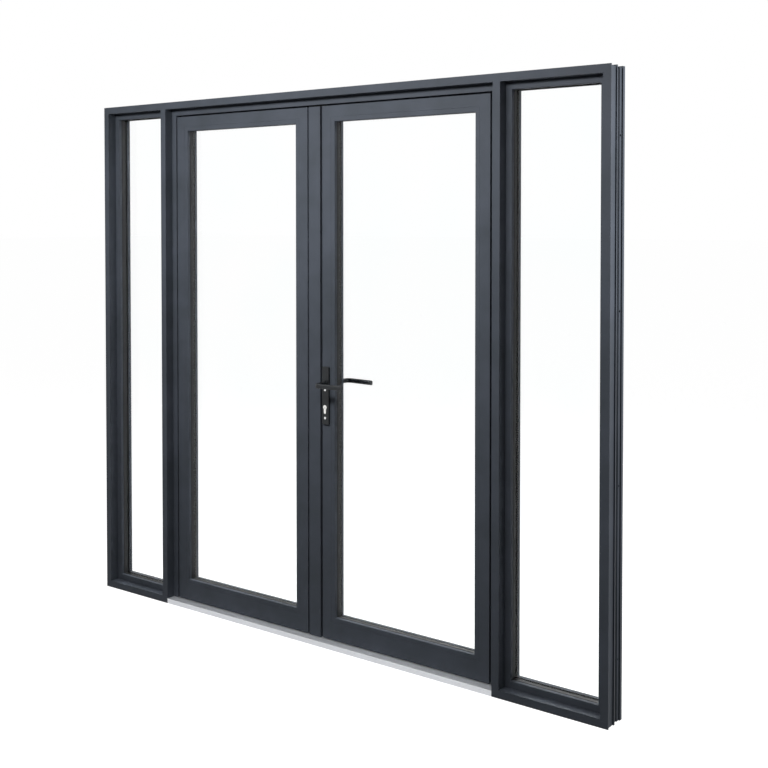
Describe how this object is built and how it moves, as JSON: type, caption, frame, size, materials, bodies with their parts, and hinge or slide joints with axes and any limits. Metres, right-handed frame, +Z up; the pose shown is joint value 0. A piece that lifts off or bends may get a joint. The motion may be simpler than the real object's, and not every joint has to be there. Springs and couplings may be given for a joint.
{
  "type": "double door with sidelights",
  "caption": "Glazed aluminium double door in a frame with fixed sidelights, lever handle, low threshold and hinged leaves.",
  "frame": {"origin": "midway between the mullions and between the faces, on the underside of the threshold", "axes": "+X to the right seen from the front, +Y from the front to the hinge side at the back, +Z up"},
  "size_m": [2.404, 0.206, 2.1],
  "materials": {
    "grey_paint": "satin powder coat, dark slate grey",
    "silver_anodised": "satin anodised",
    "thermal_plastic": "moulded glass-filled polyamide",
    "gasket_rubber": "matt black",
    "clear_glass": "polished",
    "spacer_plastic": "warm-edge spacer, extruded",
    "packer_plastic": "moulded",
    "handle_metal": "satin powder coat, black",
    "bright_steel": "bright zinc",
    "lock_steel": "zinc plated",
    "cylinder_brass": "nickel plated"
  },
  "bodies": {
    "frame": {"left_jamb": "grey_paint", "right_jamb": "grey_paint", "head": "grey_paint", "left_mullion": "grey_paint", "right_mullion": "grey_paint", "sidelight_sills": "grey_paint", "frame_thermal_strips": "thermal_plastic", "frame_corner_cleats": "silver_anodised", "door_stop_left": "grey_paint", "door_stop_right": "grey_paint", "door_stop_head": "grey_paint", "door_stop_seals": "gasket_rubber", "threshold": "silver_anodised", "sidelight_rebates": "grey_paint", "sidelight_beads": "grey_paint", "sidelight_panes": "clear_glass", "sidelight_spacers": "spacer_plastic", "sidelight_gaskets": "gasket_rubber", "sidelight_packers": "packer_plastic", "hinge_frame_wings": "grey_paint", "hinge_pins": "bright_steel"},
    "active_leaf": {"active_hinge_stile": "grey_paint", "active_meeting_stile": "grey_paint", "active_top_rail": "grey_paint", "active_bottom_rail": "grey_paint", "active_thermal_strips": "thermal_plastic", "active_beads": "grey_paint", "active_panes": "clear_glass", "active_spacer": "spacer_plastic", "active_gaskets": "gasket_rubber", "active_bottom_seal": "gasket_rubber", "active_hinge_wings": "grey_paint", "lock_case": "lock_steel", "lock_faceplate": "lock_steel", "handle_backplates": "handle_metal", "backplate_screws": "bright_steel", "cylinder_body": "cylinder_brass"},
    "lever_set": {"front_lever": "handle_metal", "rear_lever": "handle_metal", "lever_spindle": "lock_steel", "lock_follower": "lock_steel"},
    "latch": {"latch_bolt": "lock_steel"},
    "key_cylinder_plug": {"cylinder_plug": "cylinder_brass"},
    "deadbolt_body": {"deadbolt": "lock_steel"},
    "passive_leaf": {"passive_hinge_stile": "grey_paint", "passive_meeting_stile": "grey_paint", "passive_top_rail": "grey_paint", "passive_bottom_rail": "grey_paint", "passive_thermal_strips": "thermal_plastic", "passive_beads": "grey_paint", "passive_panes": "clear_glass", "passive_spacer": "spacer_plastic", "passive_gaskets": "gasket_rubber", "passive_bottom_seal": "gasket_rubber", "passive_hinge_wings": "grey_paint", "meeting_strip": "grey_paint", "strike_plate": "lock_steel", "strip_end_caps": "thermal_plastic"},
    "top_bolt": {"top_shoot_bolt": "lock_steel"},
    "bottom_bolt": {"bottom_shoot_bolt": "lock_steel"}
  },
  "joints": [
    {"name": "active_leaf_hinge", "type": "hinge", "parent": "frame", "child": "active_leaf", "pos_m": [0.7785, 0.061, 1.05], "axis": [0, 0, -1], "range_deg": [0, 105]},
    {"name": "passive_leaf_hinge", "type": "hinge", "parent": "frame", "child": "passive_leaf", "pos_m": [-0.7785, 0.061, 1.05], "axis": [0, 0, 1], "range_deg": [0, 105]},
    {"name": "lever_turn", "type": "hinge", "parent": "active_leaf", "child": "lever_set", "pos_m": [0.043, 0.019, 0.997], "axis": [0, 1, 0], "range_deg": [0, 40], "stiffness_Nm_per_rad": 2, "springref_deg": -17.19},
    {"name": "latch_slide", "type": "slide", "parent": "active_leaf", "child": "latch", "axis": [1, 0, 0], "range_m": [0, 0.004]},
    {"name": "cylinder_turn", "type": "hinge", "parent": "active_leaf", "child": "key_cylinder_plug", "pos_m": [0.043, 0.019, 0.905], "axis": [0, 1, 0], "range_deg": [0, 360]},
    {"name": "deadbolt_slide", "type": "slide", "parent": "active_leaf", "child": "deadbolt_body", "axis": [-1, 0, 0], "range_m": [0, 0.019]},
    {"name": "top_bolt_slide", "type": "slide", "parent": "passive_leaf", "child": "top_bolt", "axis": [0, 0, 1], "range_m": [0, 0.024]},
    {"name": "bottom_bolt_slide", "type": "slide", "parent": "passive_leaf", "child": "bottom_bolt", "axis": [0, 0, -1], "range_m": [0, 0.018]}
  ],
  "couplings": [
    {"joint": "latch_slide", "follows": "lever_turn", "m_per_rad": 0.00572},
    {"joint": "cylinder_turn", "follows": "deadbolt_slide", "rad_per_m": 330.6}
  ]
}
